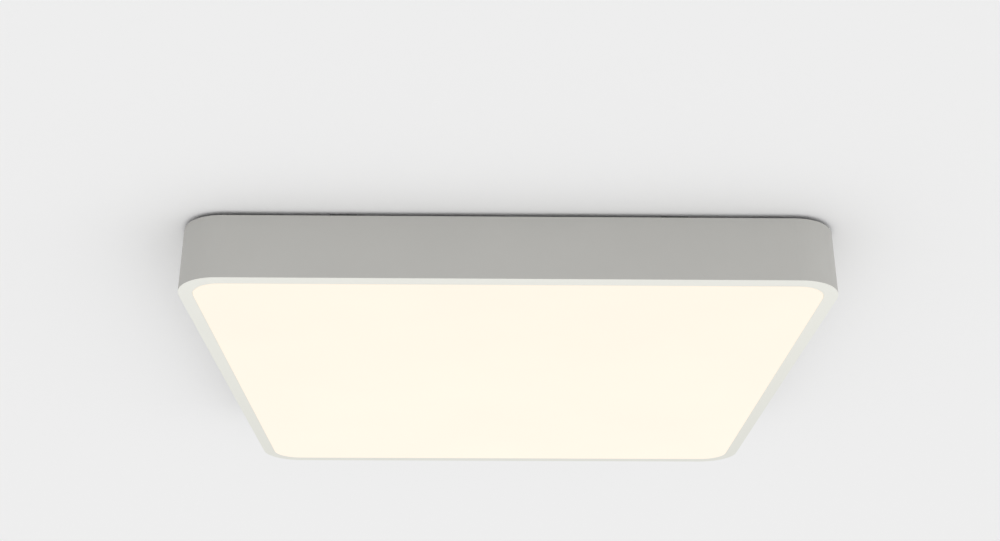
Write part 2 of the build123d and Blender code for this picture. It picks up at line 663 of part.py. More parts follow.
def terminal_contact(y):
    """Brass cage that the bare wire ends meet in, against the chamber's roof."""
    x_low = TERMINAL_X - CHAMBER_LENGTH / 2 + CONTACT_GAP
    half = CHAMBER_WIDTH / 2 - CONTACT_GAP
    cage = block(x_low, x_low + CONTACT_LENGTH, y - half, y + half, CONTACT_BOTTOM, CHAMBER_TOP)
    bore = Cylinder(CONTACT_HOLE_RADIUS, CONTACT_LENGTH)
    return cage - Pos(x_low + CONTACT_LENGTH / 2, y, WIRE_LEVEL) * Rot(0, 90, 0) * bore


def terminal_spring(y):
    """V-shaped clamping spring beside the cage."""
    wall_x = TERMINAL_X + CHAMBER_LENGTH / 2 - SPRING_THICKNESS
    apex_x = TERMINAL_X - CHAMBER_LENGTH / 2 + CONTACT_LENGTH + 2 * CONTACT_GAP + SPRING_THICKNESS
    points = [(wall_x, y, CONTACT_TOP), (apex_x, y, WIRE_LEVEL), (wall_x, y, CONTACT_BOTTOM)]
    path = FilletPolyline(points, radius=SHEET_BEND_RADIUS / 2)
    start = Plane(origin=path @ 0, x_dir=(0, 1, 0), z_dir=path % 0)
    return sweep(start * Rectangle(SPRING_WIDTH, SPRING_THICKNESS), path=path)


def terminal_screws():
    """The two screws of the terminal block."""
    reach = TERMINAL_SCREW_SPACING / 2
    return group([gear_screw(TERMINAL_X, y, TERMINAL_FACE) for y in (-reach, reach)])


# --- earth stud -----------------------------------------------------------------------------------
def earth_stud():
    """Shouldered stud welded to the tray."""
    stud = post(EARTH_X, EARTH_Y, EARTH_SEAT_BOTTOM, TRAY_UNDERSIDE, EARTH_SEAT_RADIUS)
    tip = EARTH_SEAT_BOTTOM - EARTH_THREAD_LENGTH
    return stud + post(EARTH_X, EARTH_Y, tip, EARTH_SEAT_BOTTOM, EARTH_THREAD_RADIUS)


def earth_ring(radius, z_low, z_high):
    """Washer-like ring that fits over the earth stud."""
    hole = post(EARTH_X, EARTH_Y, z_low, z_high, EARTH_THREAD_RADIUS + HOLE_CLEARANCE)
    return post(EARTH_X, EARTH_Y, z_low, z_high, radius) - hole


def earth_lug():
    """Crimped ring lug on the earth wire."""
    top = EARTH_SEAT_BOTTOM
    bottom = top - LUG_THICKNESS
    half = MAINS_WIRE_DIAMETER / 2
    ring = post(EARTH_X, EARTH_Y, bottom, top, LUG_RADIUS)
    barrel_end = EARTH_Y - LUG_LENGTH
    ring += block(EARTH_X - half, EARTH_X + half, barrel_end, EARTH_Y, bottom, top)
    ring -= post(EARTH_X, EARTH_Y, bottom, top, EARTH_THREAD_RADIUS + HOLE_CLEARANCE)
    barrel_centre = Pos(EARTH_X, barrel_end - LUG_BARREL_LENGTH / 2, WIRE_LEVEL) * Rot(90, 0, 0)
    outer = barrel_centre * Cylinder(half + LUG_BARREL_WALL, LUG_BARREL_LENGTH)
    step_end = barrel_end - LUG_STEP_WIDTH
    outer += block(EARTH_X - half, EARTH_X + half, step_end, barrel_end, WIRE_LEVEL, top)
    return ring + outer - barrel_centre * Cylinder(half, LUG_BARREL_LENGTH)


def earth_washer():
    """Plain washer under the nut."""
    top = EARTH_SEAT_BOTTOM - LUG_THICKNESS
    return earth_ring(WASHER_RADIUS, top - WASHER_THICKNESS, top)


def earth_nut():
    """Hexagon nut that holds the lug."""
    top = EARTH_SEAT_BOTTOM - LUG_THICKNESS - WASHER_THICKNESS
    hexagon = Pos(EARTH_X, EARTH_Y, top) * extrude(RegularPolygon(NUT_RADIUS, 6), -NUT_HEIGHT)
    return hexagon - post(EARTH_X, EARTH_Y, top - NUT_HEIGHT, top, EARTH_THREAD_RADIUS + HOLE_CLEARANCE)


# --- driver ---------------------------------------------------------------------------------------
def driver_box(margin, z_low, z_high):
    """Driver outline shrunk by a margin, between two levels."""
    x_reach = DRIVER_WIDTH / 2 - margin
    y_reach = DRIVER_LENGTH / 2 - margin
    return block(DRIVER_X - x_reach, DRIVER_X + x_reach, -y_reach, y_reach, z_low, z_high)


def driver_case():
    """Driver housing, open downwards, with four screw ears and a wire window at each end."""
    case = driver_box(0, DRIVER_MOUTH, TRAY_UNDERSIDE)
    case -= driver_box(DRIVER_WALL, DRIVER_MOUTH, TRAY_UNDERSIDE - DRIVER_WALL)
    ear_bottom = TRAY_UNDERSIDE - EAR_THICKNESS
    for x, y in driver_screw_places():
        ear = Pos(x, y, (TRAY_UNDERSIDE + ear_bottom) / 2) * Box(EAR_WIDTH, EAR_LENGTH, EAR_THICKNESS)
        case += ear
        case -= post(x, y, ear_bottom, TRAY_UNDERSIDE, GEAR_SCREW_RADIUS + HOLE_CLEARANCE)
    case += [
        post(x, y, BOARD_TOP, TRAY_UNDERSIDE - DRIVER_WALL, BOARD_BOSS_RADIUS)
        for x, y in board_corners()
    ]
    window_half = DRIVER_TERMINAL_WIDTH / 2 + DRIVER_TERMINAL_GAP
    window_bottom = BOARD_UNDERSIDE - DRIVER_TERMINAL_HEIGHT - DRIVER_TERMINAL_GAP
    y_reach = DRIVER_LENGTH / 2
    for y in (-y_reach, y_reach):
        case -= block(
            DRIVER_X - window_half,
            DRIVER_X + window_half,
            y - DRIVER_WALL,
            y + DRIVER_WALL,
            window_bottom,
            BOARD_UNDERSIDE + DRIVER_TERMINAL_GAP,
        )
    return case


def board_corners():
    """Places of the four bosses under the driver's circuit board."""
    x_reach = DRIVER_WIDTH / 2 - DRIVER_WALL - BOARD_BOSS_INSET
    y_reach = DRIVER_LENGTH / 2 - DRIVER_WALL - BOARD_BOSS_INSET
    return [(DRIVER_X + i * x_reach, j * y_reach) for i in (-1, 1) for j in (-1, 1)]


def driver_lid():
    """Snap-on lid with a locating lip inside the case walls."""
    lid = driver_box(0, DRIVER_MOUTH - DRIVER_LID_THICKNESS, DRIVER_MOUTH)
    lip_margin = DRIVER_WALL + SEAT_GAP
    lip = driver_box(lip_margin, DRIVER_MOUTH, DRIVER_MOUTH + DRIVER_LID_LIP)
    return lid + lip - driver_box(lip_margin + DRIVER_WALL, DRIVER_MOUTH, DRIVER_MOUTH + DRIVER_LID_LIP)


def driver_board():
    """Circuit board of the driver."""
    return driver_box(DRIVER_WALL + BOARD_MARGIN, BOARD_UNDERSIDE, BOARD_TOP)


def driver_terminal(side):
    """Two-pole terminal at one end of the driver's board, with its face in the end window."""
    half = DRIVER_TERMINAL_WIDTH / 2
    outer = side * DRIVER_LENGTH / 2
    inner = outer - side * DRIVER_TERMINAL_DEPTH
    body = block(
        DRIVER_X - half,
        DRIVER_X + half,
        min(outer, inner),
        max(outer, inner),
        BOARD_UNDERSIDE - DRIVER_TERMINAL_HEIGHT,
        BOARD_UNDERSIDE,
    )
    diameter = MAINS_WIRE_DIAMETER if side < 0 else LED_WIRE_DIAMETER
    port = Rot(90, 0, 0) * Cylinder(diameter / 2 + HOLE_CLEARANCE, DRIVER_PORT_DEPTH)
    y = outer - side * DRIVER_PORT_DEPTH / 2
    return body - [Pos(x, y, WIRE_LEVEL) * port for x in driver_wire_x()]


def driver_wire_x():
    """Places of the two wires at either end of the driver."""
    return (DRIVER_X + WIRE_PITCH / 2, DRIVER_X - WIRE_PITCH / 2)


def driver_transformer():
    """Transformer block on the board."""
    length_x, length_y, height = TRANSFORMER_SIZE
    return Pos(DRIVER_X, 0, BOARD_UNDERSIDE - height / 2) * Box(length_x, length_y, height)


def driver_capacitors():
    """Row of electrolytic capacitors on the board."""
    first_y = TRANSFORMER_SIZE[1] / 2 + CAPACITOR_PITCH
    bottom = BOARD_UNDERSIDE - CAPACITOR_HEIGHT
    return group(
        post(DRIVER_X, first_y + k * CAPACITOR_PITCH, bottom, BOARD_UNDERSIDE, CAPACITOR_RADIUS)
        for k in range(CAPACITOR_COUNT)
    )


def driver_screws():
    """The four screws in the driver's ears."""
    seat = TRAY_UNDERSIDE - EAR_THICKNESS
    return group([gear_screw(x, y, seat) for x, y in driver_screw_places()])


# --- wiring ---------------------------------------------------------------------------------------
def mains_wire(pole_y, run_offset, driver_x):
    """Wire from one terminal pole, round the tray, to the driver's near end."""
    start_x = TERMINAL_OUTER_X - PORT_DEPTH + SEAT_GAP
    end_y = -DRIVER_LENGTH / 2 + DRIVER_PORT_DEPTH
    run_x = MAINS_RUN_X + run_offset
    run_y = MAINS_RUN_Y - run_offset
    points = [
        (start_x, pole_y, WIRE_LEVEL),
        (run_x, pole_y, WIRE_LEVEL),
        (run_x, run_y, WIRE_LEVEL),
        (driver_x, run_y, WIRE_LEVEL),
        (driver_x, end_y, WIRE_LEVEL),
    ]
    return round_wire(points, MAINS_WIRE_BEND, MAINS_WIRE_DIAMETER)


def wire_earth():
    """Earth wire from the terminal block to the lug on the earth stud."""
    end_y = EARTH_Y - LUG_LENGTH
    points = [
        (TERMINAL_OUTER_X - PORT_DEPTH + SEAT_GAP, POLES["earth"], WIRE_LEVEL),
        (EARTH_X, POLES["earth"], WIRE_LEVEL),
        (EARTH_X, end_y, WIRE_LEVEL),
    ]
    return round_wire(points, MAINS_WIRE_BEND, MAINS_WIRE_DIAMETER)


def output_wire(offset, driver_x):
    """Wire from the driver's far end, down through the pan grommet, to the last LED board."""
    run_y = STRIP_PLACES[-1] + offset
    drop_x = PAN_GROMMET_X - PAN_WIRE_OFFSET
    points = [
        (driver_x, DRIVER_LENGTH / 2 - DRIVER_PORT_DEPTH, WIRE_LEVEL),
        (driver_x, run_y, WIRE_LEVEL),
        (drop_x, run_y, WIRE_LEVEL),
        (drop_x, run_y, CONNECTOR_LEVEL),
        (-CONNECTOR_OUTER + CONNECTOR_PORT_DEPTH, run_y, CONNECTOR_LEVEL),
    ]
    bends = (MAINS_WIRE_BEND, LED_WIRE_BEND, LED_WIRE_BEND)
    return round_wire(points, bends, LED_WIRE_DIAMETER)


def wire_saddle():
    """Saddle on the tray that holds the live and neutral wires side by side."""
    wire_radius = MAINS_WIRE_DIAMETER / 2
    half_width = WIRE_PITCH / 2 + wire_radius + SADDLE_WALL
    bottom = WIRE_LEVEL - wire_radius - SADDLE_WALL
    half_length = SADDLE_LENGTH / 2
    saddle = block(-half_length, half_length, -half_width, half_width, bottom, TRAY_UNDERSIDE)
    bore = Rot(0, 90, 0) * Cylinder(wire_radius + HOLE_CLEARANCE, SADDLE_LENGTH)
    return saddle - [Pos(0, y, WIRE_LEVEL) * bore for y in (-WIRE_PITCH / 2, WIRE_PITCH / 2)]


def wire_saddles():
    """Saddles along the mains wires' runs."""
    saddles = [Pos(x, MAINS_RUN_Y, 0) * wire_saddle() for x in SADDLE_X]
    middle_y = (MAINS_RUN_Y - POLE_PITCH) / 2
    return group(saddles + [Pos(MAINS_RUN_X, middle_y, 0) * Rot(0, 0, 90) * wire_saddle()])


# --- reflector pan and LED boards -----------------------------------------------------------------
def frustum(flat_inset, z_top, rim_inset, z_bottom, corner_inset):
    """Square cone between the pan's flat floor and its wide mouth."""
    top_side = BODY_WIDTH - 2 * flat_inset
    rim_side = BODY_WIDTH - 2 * rim_inset
    top_face = Pos(0, 0, z_top) * RectangleRounded(top_side, top_side, PAN_SLOPE_WIDTH - corner_inset)
    rim_face = Pos(0, 0, z_bottom) * RectangleRounded(rim_side, rim_side, CORNER_RADIUS - rim_inset)
    return loft([top_face, rim_face])


def reflector_pan():
    """White sheet pan that carries the LED boards, with sloping sides down to the diffuser."""
    drop = PAN_TOP - PAN_RIM_BOTTOM
    wall_run = PAN_THICKNESS * math.hypot(drop, PAN_SLOPE_WIDTH) / drop
    slope_run = PAN_SLOPE_WIDTH * PAN_THICKNESS / drop
    inner_flat = PAN_FLAT_INSET + wall_run - slope_run
    inner_rim = PAN_RIM_INSET + wall_run
    pan = frustum(PAN_FLAT_INSET, PAN_TOP, PAN_RIM_INSET, PAN_RIM_BOTTOM, 0)
    pan -= frustum(inner_flat, PAN_UNDERSIDE, inner_rim, PAN_RIM_BOTTOM, wall_run)
    screw_hole = PAN_SCREW_RADIUS + HOLE_CLEARANCE
    pan -= [post(x, y, PAN_UNDERSIDE, PAN_TOP, screw_hole) for x, y in STANDOFF_PLACES]
    strip_hole = STRIP_SCREW_RADIUS + HOLE_CLEARANCE
    pan -= [
        post(x, y, PAN_UNDERSIDE, PAN_TOP, strip_hole)
        for x in STRIP_SCREW_PLACES
        for y in STRIP_PLACES
    ]
    grommet_hole = PAN_GROMMET_GROOVE_RADIUS + HOLE_CLEARANCE
    return pan - post(PAN_GROMMET_X, STRIP_PLACES[-1], PAN_UNDERSIDE, PAN_TOP, grommet_hole)


def pan_grommet():
    """Rubber ring where the output wires pass through the pan."""
    y = STRIP_PLACES[-1]
    low = PAN_UNDERSIDE - PAN_GROMMET_FLANGE
    high = PAN_TOP + PAN_GROMMET_FLANGE
    ring = post(PAN_GROMMET_X, y, PAN_TOP, high, PAN_GROMMET_RADIUS)
    ring += post(PAN_GROMMET_X, y, PAN_UNDERSIDE, PAN_TOP, PAN_GROMMET_GROOVE_RADIUS)
    ring += post(PAN_GROMMET_X, y, low, PAN_UNDERSIDE, PAN_GROMMET_RADIUS)
    return ring - post(PAN_GROMMET_X, y, low, high, PAN_GROMMET_BORE_RADIUS)


def standoff(x, y):
    """Spacer clinched in the tray, tapped for a pan screw."""
    spacer = post(x, y, PAN_TOP, TRAY_UNDERSIDE, STANDOFF_RADIUS)
    spacer += post(x, y, TRAY_UNDERSIDE, -HOLE_CLEARANCE, STANDOFF_SPIGOT_RADIUS)
    bore_top = PAN_TOP + PAN_SCREW_GRIP + HOLE_CLEARANCE
    return spacer - post(x, y, PAN_TOP, bore_top, PAN_SCREW_RADIUS + HOLE_CLEARANCE)


def pan_screw(x, y):
    """Screw through the pan into a standoff."""
    tip = PAN_TOP + PAN_SCREW_GRIP
    return screw(
        x, y, PAN_UNDERSIDE, tip, PAN_SCREW_RADIUS, PAN_SCREW_HEAD_RADIUS, PAN_SCREW_HEAD_HEIGHT
    )


def led_strip(y):
    """Narrow LED circuit board on the pan."""
    half_width = STRIP_WIDTH / 2
    board = block(
        -STRIP_HALF, STRIP_HALF, y - half_width, y + half_width, STRIP_UNDERSIDE, PAN_UNDERSIDE
    )
    hole = STRIP_SCREW_RADIUS + HOLE_CLEARANCE
    return board - [post(x, y, STRIP_UNDERSIDE, PAN_UNDERSIDE, hole) for x in STRIP_SCREW_PLACES]


def strip_screw(x, y):
    """Screw that holds a LED board to the pan."""
    return screw(
        x,
        y,
        STRIP_UNDERSIDE,
        PAN_TOP + GEAR_SCREW_BITE,
        STRIP_SCREW_RADIUS,
        STRIP_SCREW_HEAD_RADIUS,
        STRIP_SCREW_HEAD_HEIGHT,
    )


def led_package():
    """One LED on a board, at x = y = 0."""
    half = LED_SIZE / 2
    return block(-half, half, -half, half, STRIP_UNDERSIDE - LED_HEIGHT, STRIP_UNDERSIDE)


def led_lens():
    """Clear dome over one LED, with a hollow for the package, at x = y = 0."""
    sphere_radius = (LENS_RADIUS**2 + LENS_CROWN**2) / (2 * LENS_CROWN)
    skirt_bottom = STRIP_UNDERSIDE - LENS_SKIRT
    lens = post(0, 0, skirt_bottom, STRIP_UNDERSIDE, LENS_RADIUS)
    crown = Pos(0, 0, skirt_bottom - LENS_CROWN + sphere_radius) * Sphere(sphere_radius)
    lens += crown & post(0, 0, skirt_bottom - LENS_CROWN, skirt_bottom, LENS_RADIUS)
    return lens - Pos(0, 0, STRIP_UNDERSIDE) * Sphere(LENS_CAVITY_RADIUS)


def at_every_led(shape):
    """Copies of a shape at each LED of every board."""
    return group([Pos(x, y, 0) * shape for x in LED_PLACES for y in STRIP_PLACES])


def connector_ends():
    """(board index, side) of every board end that has a connector, links first, then the feed."""
    ends = []
    for link in range(STRIP_COUNT - 1):
        side = 1 if link % 2 == 0 else -1
        ends += [(link, side), (link + 1, side)]
    return ends + [(STRIP_COUNT - 1, -1)]


def strip_connector(index, side):
    """Two-pole connector at one end of a board."""
    y = STRIP_PLACES[index]
    inner = CONNECTOR_OUTER - CONNECTOR_LENGTH
    half_width = CONNECTOR_WIDTH / 2
    body = block(
        min(side * inner, side * CONNECTOR_OUTER),
        max(side * inner, side * CONNECTOR_OUTER),
        y - half_width,
        y + half_width,
        STRIP_UNDERSIDE - CONNECTOR_HEIGHT,
        STRIP_UNDERSIDE,
    )
    port = Rot(0, 90, 0) * Cylinder(LED_WIRE_DIAMETER / 2 + HOLE_CLEARANCE, CONNECTOR_PORT_DEPTH)
    x = side * (CONNECTOR_OUTER - CONNECTOR_PORT_DEPTH / 2)
    offsets = (-WIRE_PITCH / 2, WIRE_PITCH / 2)
    return body - [Pos(x, y + offset, CONNECTOR_LEVEL) * port for offset in offsets]


def strip_jumpers():
    """Pairs of short wires that link each board to the next, at alternate ends."""
    wires = []
    for link in range(STRIP_COUNT - 1):
        side = 1 if link % 2 == 0 else -1
        start_x = side * (CONNECTOR_OUTER - CONNECTOR_PORT_DEPTH)
        for offset, reach in (
            (WIRE_PITCH / 2, JUMPER_INNER_REACH),
            (-WIRE_PITCH / 2, JUMPER_INNER_REACH + WIRE_PITCH),
        ):
            turn_x = side * (CONNECTOR_OUTER + reach)
            low_y = STRIP_PLACES[link] + offset
            high_y = STRIP_PLACES[link + 1] - offset
            points = [
                (start_x, low_y, CONNECTOR_LEVEL),
                (turn_x, low_y, CONNECTOR_LEVEL),
                (turn_x, high_y, CONNECTOR_LEVEL),
                (start_x, high_y, CONNECTOR_LEVEL),
            ]
            wires.append(round_wire(points, LED_WIRE_BEND, LED_WIRE_DIAMETER))
    return group(wires)


# --- every piece by name --------------------------------------------------------------------------
def all_pieces():
    """Each physical piece, or group of identical pieces, under the name of its node."""
    clip_stations = (-CLIP_STATION, CLIP_STATION)
    live_x, neutral_x = driver_wire_x()
    half_pitch = WIRE_PITCH / 2
    pieces = {
        "side_band": side_band(),
        "front_bezel": front_bezel(),
        "diffuser": diffuser(),
        "diffuser_gasket": diffuser_gasket(),
        "frame_brackets": group(on_four_sides(frame_bracket(), BRACKET_STATIONS)),
        "bracket_rivets": group(on_four_sides(lip_rivet(), BRACKET_STATIONS)),
        "bracket_screws": group(on_four_sides(bezel_screw(), BRACKET_STATIONS)),
        "mounting_tray": mounting_tray(),
        "gap_pads": group(on_four_sides(gap_pad(), (-TAB_STATION, TAB_STATION))),
        "spring_clips": group(on_four_sides(spring_clip(), clip_stations)),
        "clip_rivets": group(on_four_sides(clip_rivets(), clip_stations)),
        "cable_grommet": cable_grommet(),
        "cord_clamp_base": cord_clamp_base(),
        "cord_clamp_bridge": cord_clamp_bridge(),
        "clamp_screws": clamp_screws(),
        "terminal_block": terminal_block(),
        "terminal_contacts": group([terminal_contact(y) for y in POLES.values()]),
        "terminal_springs": group([terminal_spring(y) for y in POLES.values()]),
        "terminal_screws": terminal_screws(),
        "earth_stud": earth_stud(),
        "earth_lug": earth_lug(),
        "earth_washer": earth_washer(),
        "earth_nut": earth_nut(),
        "driver_case": driver_case(),
        "driver_lid": driver_lid(),
        "driver_board": driver_board(),
        "driver_input_terminal": driver_terminal(-1),
        "driver_output_terminal": driver_terminal(1),
        "driver_transformer": driver_transformer(),
        "driver_capacitors": driver_capacitors(),
        "driver_screws": driver_screws(),
        "wire_live": mains_wire(POLES["live"], -half_pitch, live_x),
        "wire_neutral": mains_wire(POLES["neutral"], half_pitch, neutral_x),
        "wire_earth": wire_earth(),
        "wire_saddles": wire_saddles(),
        "wire_output_positive": output_wire(half_pitch, live_x),
        "wire_output_negative": output_wire(-half_pitch, neutral_x),
        "standoffs": group([standoff(x, y) for x, y in STANDOFF_PLACES]),
        "reflector_pan": reflector_pan(),
        "pan_grommet": pan_grommet(),
        "pan_screws": group([pan_screw(x, y) for x, y in STANDOFF_PLACES]),
        "strip_screws": group([strip_screw(x, y) for x in STRIP_SCREW_PLACES for y in STRIP_PLACES]),
        "led_packages": at_every_led(led_package()),
        "led_lenses": at_every_led(led_lens()),
        "strip_connectors": group([strip_connector(index, side) for index, side in connector_ends()]),
        "strip_jumpers": strip_jumpers(),
    }
    pieces |= {f"release_button_{pole}": release_button(y) for pole, y in POLES.items()}
    pieces |= {f"led_strip_{k + 1}": led_strip(y) for k, y in enumerate(STRIP_PLACES)}
    return pieces


os.makedirs("parts", exist_ok=True)
for name, shape in all_pieces().items():
    export_step(shape, f"parts/{name}.step")
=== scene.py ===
import json
import math

import bpy
from mathutils import Matrix, Vector


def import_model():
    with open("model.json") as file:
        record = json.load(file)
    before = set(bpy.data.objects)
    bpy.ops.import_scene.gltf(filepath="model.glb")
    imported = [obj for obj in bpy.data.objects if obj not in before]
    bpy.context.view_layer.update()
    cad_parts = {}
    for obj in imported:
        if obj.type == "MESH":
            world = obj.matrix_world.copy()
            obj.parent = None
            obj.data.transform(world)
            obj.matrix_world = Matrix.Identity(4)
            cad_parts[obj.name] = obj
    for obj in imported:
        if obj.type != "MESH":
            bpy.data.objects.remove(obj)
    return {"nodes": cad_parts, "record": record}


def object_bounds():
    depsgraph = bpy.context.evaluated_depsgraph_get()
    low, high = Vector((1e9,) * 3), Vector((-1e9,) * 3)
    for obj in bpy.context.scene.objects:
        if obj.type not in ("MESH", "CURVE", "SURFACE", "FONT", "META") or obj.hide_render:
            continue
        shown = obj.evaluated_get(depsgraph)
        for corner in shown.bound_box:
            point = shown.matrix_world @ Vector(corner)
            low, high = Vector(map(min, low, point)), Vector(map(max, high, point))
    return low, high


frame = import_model()
cad_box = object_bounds()
nodes = frame["nodes"]
scene = bpy.context.scene

# Metres. The origin is the centre of the ceiling face, +Z points up into the ceiling, and the
# camera looks from the near side, -Y, and from below.
HALF_WIDTH = cad_box[1][0]
TRAY_EDGE = HALF_WIDTH - 0.0103
TRAY_CORNER_CUT = 0.016

# Painted shade: black on the band's upward faces, so that the ceiling gap reads dark.
BAND_LIP_PAINTED_SHADE = (0.02, 0.02, 0.02, 1)
# Painted shade: dark grey on the tray's rim and tabs, so that the ceiling gap reads dark.
TRAY_EDGE_PAINTED_SHADE = (0.062, 0.062, 0.062, 1)
# Painted shade: the bezel colour is multiplied by this towards its far side.
FAR_BEZEL_PAINTED_SHADE = (0.9, 0.9, 0.89, 1)
ZINC = (0.62, 0.63, 0.64, 1)
ZINC_METALLIC = 0.7


# --- small node helpers ---------------------------------------------------------------------------
def srgb(*levels):
    """Linear colour from 0-255 display levels."""
    out = []
    for v in levels:
        c = v / 255
        out.append(c / 12.92 if c <= 0.04045 else ((c + 0.055) / 1.055) ** 2.4)
    return (*out, 1.0)


class Tree:
    """A material's node tree with a Principled shader, and short ways to add nodes to it."""

    def __init__(self, name, roughness, metallic=0.0, specular=0.5):
        self.mat = bpy.data.materials.new(name)
        self.mat.use_nodes = True
        self.nodes = self.mat.node_tree.nodes
        self.links = self.mat.node_tree.links
        self.bsdf = self.nodes["Principled BSDF"]
        self.bsdf.inputs["Roughness"].default_value = roughness
        self.bsdf.inputs["Metallic"].default_value = metallic
        self.bsdf.inputs["Specular IOR Level"].default_value = specular
        self.coords = self.nodes.new("ShaderNodeTexCoord")
        self.place = self.coords.outputs["Object"]

    def add(self, kind, **values):
        node = self.nodes.new("ShaderNode" + kind)
        for key, value in values.items():
            if hasattr(node, key) and key not in node.inputs:
                setattr(node, key, value)
            else:
                node.inputs[key].default_value = value
        return node

    def join(self, source, node, socket):
        self.links.new(source, node.inputs[socket])
        return node

    def stretched(self, scale, turn=(0, 0, 0)):
        """Object coordinates stretched along an axis, for brushed or drawn surfaces."""
        mapping = self.add("Mapping")
        mapping.inputs["Scale"].default_value = scale
        mapping.inputs["Rotation"].default_value = turn
        return self.join(self.place, mapping, "Vector").outputs["Vector"]

    def noise(self, size, detail=3.0, rough=0.5, place=None):
        """Noise whose features are about this many metres across, as a 0-1 value."""
        node = self.add("TexNoise", Scale=1 / size, Detail=detail, Roughness=rough)
        self.join(place or self.place, node, "Vector")
        return node.outputs["Fac"]

    def cells(self, size, feature="F1"):
        node = self.add("TexVoronoi", Scale=1 / size, feature=feature)
        return self.join(self.place, node, "Vector")

    def ramp(self, value, stops):
        node = self.nodes.new("ShaderNodeValToRGB")
        band = node.color_ramp
        while len(band.elements) < len(stops):
            band.elements.new(0.5)
        for element, (at, colour) in zip(band.elements, stops):
            element.position = at
            element.color = colour
        self.links.new(value, node.inputs["Fac"])
        return node.outputs["Color"]

    def remap(self, value, start, end, low=0.0, high=1.0):
        """A value that runs from start to end, mapped to run from low to high and held there."""
        node = self.add("MapRange")
        for key, number in (("From Min", start), ("From Max", end), ("To Min", low), ("To Max", high)):
            node.inputs[key].default_value = number
        return self.join(value, node, "Value").outputs["Result"]

    def spread(self, value, low, high):
        """A 0-1 noise value mapped between two numbers, from its usual middle range."""
        return self.remap(value, 0.3, 0.7, low, high)

    def math(self, operation, *values):
        node = self.add("Math", operation=operation)
        for socket, value in zip(node.inputs, values):
            if isinstance(value, (int, float)):
                socket.default_value = value
            else:
                self.links.new(value, socket)
        return node.outputs[0]

    def axes(self, kind):
        """X, Y and Z of the object coordinates or of the surface normal."""
        split = self.add("SeparateXYZ")
        return self.join(self.coords.outputs[kind], split, "Vector").outputs

    def mix(self, value, a, b, blend="MIX"):
        node = self.nodes.new("ShaderNodeMix")
        node.data_type = "RGBA"
        node.blend_type = blend
        for socket, colour in ((node.inputs[6], a), (node.inputs[7], b)):
            if isinstance(colour, tuple):
                socket.default_value = colour
            else:
                self.links.new(colour, socket)
        if isinstance(value, (int, float)):
            node.inputs[0].default_value = value
        else:
            self.links.new(value, node.inputs[0])
        return node.outputs[2]

    def colour(self, source):
        self.paint = source
        self.links.new(source, self.bsdf.inputs["Base Color"])

    def rough(self, value, low, high):
        self.links.new(self.spread(value, low, high), self.bsdf.inputs["Roughness"])

    def bump(self, value, height, strength=1.0, after=None):
        """Bump of this height in metres."""
        node = self.add("Bump", Strength=strength, Distance=height)
        self.links.new(value, node.inputs["Height"])
        if after is not None:
            self.links.new(after, node.inputs["Normal"])
        self.links.new(node.outputs["Normal"], self.bsdf.inputs["Normal"])
        return node.outputs["Normal"]


def shade(colour, factor):
    return tuple(min(1.0, c * factor) for c in colour[:3]) + (1.0,)


# --- materials ------------------------------------------------------------------------------------
def powder_coat(name, colour, spread=0.012):
    """Satin powder coat: a faint orange peel and slow drifts of tone."""
    t = Tree(name, 0.55)
    t.colour(t.ramp(t.noise(0.06, 4), [(0.3, shade(colour, 1 - spread)), (0.7, shade(colour, 1 + spread))]))
    t.rough(t.noise(0.01, 2), 0.5, 0.6)
    peel = t.bump(t.noise(0.0016, 2), 0.000012)
    t.bump(t.noise(0.0004, 1), 0.000004, after=peel)
    return t


def band_coat(name, colour):
    """Powder coat outside, and black painted on the upward faces, the turned-in lip that faces the ceiling
    gap, as painted shade that darkens the gap.
    """
    t = powder_coat(name, colour)
    facing_up = t.remap(t.axes("Normal")["Z"], 0.75, 0.95)
    # Painted shade: upward faces turn black, darkening the ceiling gap.
    t.colour(t.mix(facing_up, t.paint, BAND_LIP_PAINTED_SHADE))
    return t


def moulded(name, colour, roughness=0.5, spread=0.015, texture=0.00001):
    """Moulded plastic with a fine spark-eroded texture and faint flow marks."""
    t = Tree(name, roughness)
    flow = t.noise(0.02, 3, place=t.stretched((1, 0.35, 1)))
    t.colour(t.ramp(flow, [(0.3, shade(colour, 1 - spread)), (0.7, shade(colour, 1 + spread))]))
    t.rough(t.noise(0.003, 2), roughness - 0.06, roughness + 0.06)
    t.bump(t.noise(0.0006, 2), texture)
    return t


def bezel_plastic(name, colour):
    """Satin white moulding, with painted shade that darkens it towards its far side."""
    t = moulded(name, colour, 0.6, spread=0.004, texture=0.000004)
    t.bsdf.inputs["Specular IOR Level"].default_value = 0.2
    # Painted shade: a ramp along Y darkens the bezel from its near side to its far side.
    depth = t.remap(t.axes("Object")["Y"], -HALF_WIDTH, HALF_WIDTH)
    t.colour(t.mix(depth, t.paint, FAR_BEZEL_PAINTED_SHADE, blend="MULTIPLY"))
    return t


def opal(name):
    """Lit opal sheet: most of its light comes through it from the LEDs."""
    t = Tree(name, 0.5, specular=0.25)
    cloud = t.noise(0.15, 2)
    t.colour(t.ramp(cloud, [(0.3, (0.43, 0.395, 0.345, 1)), (0.7, (0.44, 0.405, 0.35, 1))]))
    glow = t.ramp(cloud, [(0.3, (0.985, 0.905, 0.765, 1)), (0.7, (1.0, 0.915, 0.775, 1))])
    t.links.new(glow, t.bsdf.inputs["Emission Color"])
    t.bsdf.inputs["Emission Strength"].default_value = 0.57
    t.bump(t.noise(0.0005, 1), 0.000003)
    return t


